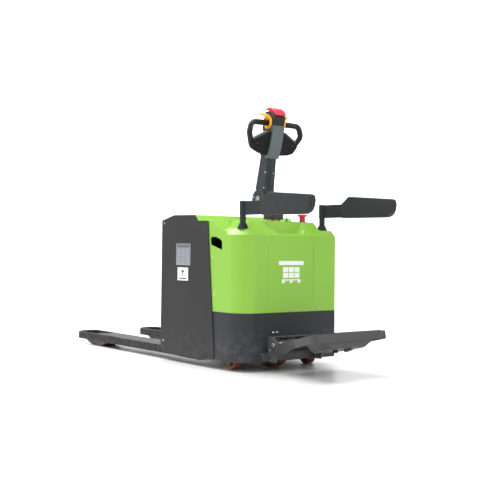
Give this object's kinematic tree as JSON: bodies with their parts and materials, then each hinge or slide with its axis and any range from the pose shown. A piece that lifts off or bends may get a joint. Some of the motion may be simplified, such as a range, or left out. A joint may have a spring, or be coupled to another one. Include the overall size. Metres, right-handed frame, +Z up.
{
  "type": "electric pallet truck",
  "caption": "Ride-on electric pallet truck with load forks, fold-down operator platform, swing-out side arms and a steering tiller.",
  "frame": {"origin": "on the floor, under the middle of the overall length and width", "axes": "+Z up, +Y towards the fork tips, +X to the truck's right as the operator looks towards the forks"},
  "size_m": [0.738, 2.512, 1.5233],
  "materials": {
    "green_cover": "satin moulded cover",
    "charcoal_paint": "fine textured powder coat",
    "slate_paint": "satin powder coat",
    "arm_pad_foam": "integral skin foam",
    "platform_paint": "satin powder coat",
    "mat_rubber": "ribbed rubber",
    "black_plastic": "fine grained moulding",
    "grey_plastic": "satin moulding",
    "yellow_plastic": "glossy moulding",
    "red_plastic": "glossy moulding",
    "orange_tyre": "cast polyurethane",
    "zinc_steel": "zinc plated",
    "black_steel": "semi-gloss chassis black",
    "cast_metal": "as cast",
    "bearing_brass": "machined",
    "battery_case": "moulded case",
    "shoe_nylon": "machined nylon",
    "plate_silver": "printed foil"
  },
  "bodies": {
    "chassis": {"drive_frame": "charcoal_paint", "skirt": "charcoal_paint", "rear_cover": "green_cover", "grab_pockets": "black_plastic", "chassis_screws": "zinc_steel", "column_bearings": "bearing_brass", "arm_posts": "slate_paint", "post_boots": "mat_rubber", "platform_bracket": "charcoal_paint", "hinge_pin": "zinc_steel", "torsion_springs": "zinc_steel", "switch_bases": "black_plastic", "status_gauge": "black_plastic", "lift_cylinder": "black_steel", "hydraulic_unit": "black_steel"},
    "steer_unit": {"steer_column": "slate_paint", "gearbox": "cast_metal", "drive_motor": "black_steel", "tiller_pin": "zinc_steel"},
    "drive_wheel": {"drive_tyre": "orange_tyre", "drive_hub": "cast_metal"},
    "tiller": {"tiller_arm": "slate_paint", "tiller_screws": "zinc_steel", "head_housing": "black_plastic", "head_cover": "grey_plastic", "handle_loops": "black_plastic", "wing_plates": "black_plastic"},
    "throttle": {"thumb_wings": "yellow_plastic"},
    "belly_button": {"belly_button": "red_plastic"},
    "lift_rocker": {"lift_rocker": "black_plastic"},
    "horn_button": {"horn_button": "black_plastic"},
    "estop_knob": {"estop_knob": "red_plastic"},
    "ignition_key": {"ignition_key": "zinc_steel"},
    "platform": {"platform_tray": "platform_paint", "platform_arms": "platform_paint", "platform_mat": "mat_rubber"},
    "arm_left": {"arm_bracket_left": "slate_paint", "arm_pad_left": "arm_pad_foam"},
    "arm_right": {"arm_bracket_right": "slate_paint", "arm_pad_right": "arm_pad_foam"},
    "fork_frame": {"battery_box": "charcoal_paint", "forks": "charcoal_paint", "guide_shoes": "shoe_nylon", "battery": "battery_case", "lift_ram": "zinc_steel", "frame_fasteners": "zinc_steel", "data_plate": "plate_silver"},
    "battery_lid": {"battery_lid": "green_cover"},
    "load_arm_left": {"load_arm_left": "black_steel"},
    "bogie_left": {"bogie_left": "black_steel"},
    "heel_roller_left": {"heel_roller_left": "orange_tyre"},
    "tip_roller_left": {"tip_roller_left": "orange_tyre"},
    "caster_fork_left": {"caster_fork_left": "black_steel"},
    "caster_wheel_left": {"caster_wheel_left": "orange_tyre"},
    "load_arm_right": {"load_arm_right": "black_steel"},
    "bogie_right": {"bogie_right": "black_steel"},
    "heel_roller_right": {"heel_roller_right": "orange_tyre"},
    "tip_roller_right": {"tip_roller_right": "orange_tyre"},
    "caster_fork_right": {"caster_fork_right": "black_steel"},
    "caster_wheel_right": {"caster_wheel_right": "orange_tyre"}
  },
  "joints": [
    {"name": "steer", "type": "hinge", "parent": "chassis", "child": "steer_unit", "pos_m": [0, -0.574, 0.9], "axis": [0, 0, 1], "range_deg": [-90, 90]},
    {"name": "tiller_tilt", "type": "hinge", "parent": "steer_unit", "child": "tiller", "pos_m": [0, -0.491, 0.985], "axis": [1, 0, 0], "range_deg": [0, 60], "stiffness_Nm_per_rad": 24, "springref_deg": -45.84},
    {"name": "throttle_turn", "type": "hinge", "parent": "tiller", "child": "throttle", "pos_m": [0, -0.58269, 1.42857], "axis": [1, 0, 0], "range_deg": [-20, 20], "stiffness_Nm_per_rad": 1},
    {"name": "belly_press", "type": "slide", "parent": "tiller", "child": "belly_button", "axis": [0, 0.2924, -0.9563], "range_m": [0, 0.006], "stiffness_N_per_m": 1000, "springref_m": -0.008},
    {"name": "rocker_tilt", "type": "hinge", "parent": "tiller", "child": "lift_rocker", "pos_m": [-0.014, -0.52787, 1.45788], "axis": [1, 0, 0], "range_deg": [-6, 6], "stiffness_Nm_per_rad": 0.6},
    {"name": "horn_press", "type": "slide", "parent": "tiller", "child": "horn_button", "axis": [0, -0.9563, -0.2924], "range_m": [0, 0.003], "stiffness_N_per_m": 400, "springref_m": -0.003},
    {"name": "estop_press", "type": "slide", "parent": "chassis", "child": "estop_knob", "axis": [0, 0, -1], "range_m": [0, 0.005]},
    {"name": "key_turn", "type": "hinge", "parent": "chassis", "child": "ignition_key", "pos_m": [0.07, -0.613, 0.86], "axis": [0, 0, 1], "range_deg": [-60, 0]},
    {"name": "platform_fold", "type": "hinge", "parent": "chassis", "child": "platform", "pos_m": [0, -0.807, 0.153], "axis": [-1, 0, 0], "range_deg": [-13.5, 76], "stiffness_Nm_per_rad": 100, "springref_deg": 17.19},
    {"name": "arm_left_swing", "type": "hinge", "parent": "chassis", "child": "arm_left", "pos_m": [-0.3, -0.67, 0.9], "axis": [0, 0, -1], "range_deg": [0, 150]},
    {"name": "arm_right_swing", "type": "hinge", "parent": "chassis", "child": "arm_right", "pos_m": [0.3, -0.67, 0.9], "axis": [0, 0, 1], "range_deg": [0, 150]},
    {"name": "lift", "type": "slide", "parent": "chassis", "child": "fork_frame", "axis": [0, 0, 1], "range_m": [0, 0.12]},
    {"name": "lid_hinge", "type": "hinge", "parent": "fork_frame", "child": "battery_lid", "pos_m": [0, 0.062, 0.866], "axis": [-1, 0, 0], "range_deg": [0, 80]},
    {"name": "drive_spin", "type": "hinge", "parent": "steer_unit", "child": "drive_wheel", "pos_m": [0, -0.574, 0.115], "axis": [1, 0, 0], "continuous": true},
    {"name": "load_arm_left_turn", "type": "hinge", "parent": "fork_frame", "child": "load_arm_left", "pos_m": [-0.2575, 0.79504, 0.05786], "axis": [-1, 0, 0], "range_deg": [0, 41.6]},
    {"name": "bogie_left_rock", "type": "hinge", "parent": "load_arm_left", "child": "bogie_left", "pos_m": [-0.2575, 0.984, 0.038], "axis": [-1, 0, 0], "range_deg": [-41.6, 0]},
    {"name": "heel_roller_left_spin", "type": "hinge", "parent": "bogie_left", "child": "heel_roller_left", "pos_m": [-0.2575, 0.929, 0.038], "axis": [1, 0, 0], "continuous": true},
    {"name": "tip_roller_left_spin", "type": "hinge", "parent": "bogie_left", "child": "tip_roller_left", "pos_m": [-0.2575, 1.039, 0.038], "axis": [1, 0, 0], "continuous": true},
    {"name": "caster_left_swivel", "type": "hinge", "parent": "chassis", "child": "caster_fork_left", "pos_m": [-0.28, -0.591, 0.12], "axis": [0, 0, 1], "continuous": true},
    {"name": "caster_left_spin", "type": "hinge", "parent": "caster_fork_left", "child": "caster_wheel_left", "pos_m": [-0.28, -0.571, 0.045], "axis": [1, 0, 0], "continuous": true},
    {"name": "load_arm_right_turn", "type": "hinge", "parent": "fork_frame", "child": "load_arm_right", "pos_m": [0.2575, 0.79504, 0.05786], "axis": [-1, 0, 0], "range_deg": [0, 41.6]},
    {"name": "bogie_right_rock", "type": "hinge", "parent": "load_arm_right", "child": "bogie_right", "pos_m": [0.2575, 0.984, 0.038], "axis": [-1, 0, 0], "range_deg": [-41.6, 0]},
    {"name": "heel_roller_right_spin", "type": "hinge", "parent": "bogie_right", "child": "heel_roller_right", "pos_m": [0.2575, 0.929, 0.038], "axis": [1, 0, 0], "continuous": true},
    {"name": "tip_roller_right_spin", "type": "hinge", "parent": "bogie_right", "child": "tip_roller_right", "pos_m": [0.2575, 1.039, 0.038], "axis": [1, 0, 0], "continuous": true},
    {"name": "caster_right_swivel", "type": "hinge", "parent": "chassis", "child": "caster_fork_right", "pos_m": [0.28, -0.591, 0.12], "axis": [0, 0, 1], "continuous": true},
    {"name": "caster_right_spin", "type": "hinge", "parent": "caster_fork_right", "child": "caster_wheel_right", "pos_m": [0.28, -0.571, 0.045], "axis": [1, 0, 0], "continuous": true}
  ],
  "couplings": [
    {"joint": "load_arm_left_turn", "follows": "lift", "rad_per_m": 6.0215},
    {"joint": "bogie_left_rock", "follows": "lift", "rad_per_m": -6.0215},
    {"joint": "load_arm_right_turn", "follows": "lift", "rad_per_m": 6.0215},
    {"joint": "bogie_right_rock", "follows": "lift", "rad_per_m": -6.0215}
  ]
}
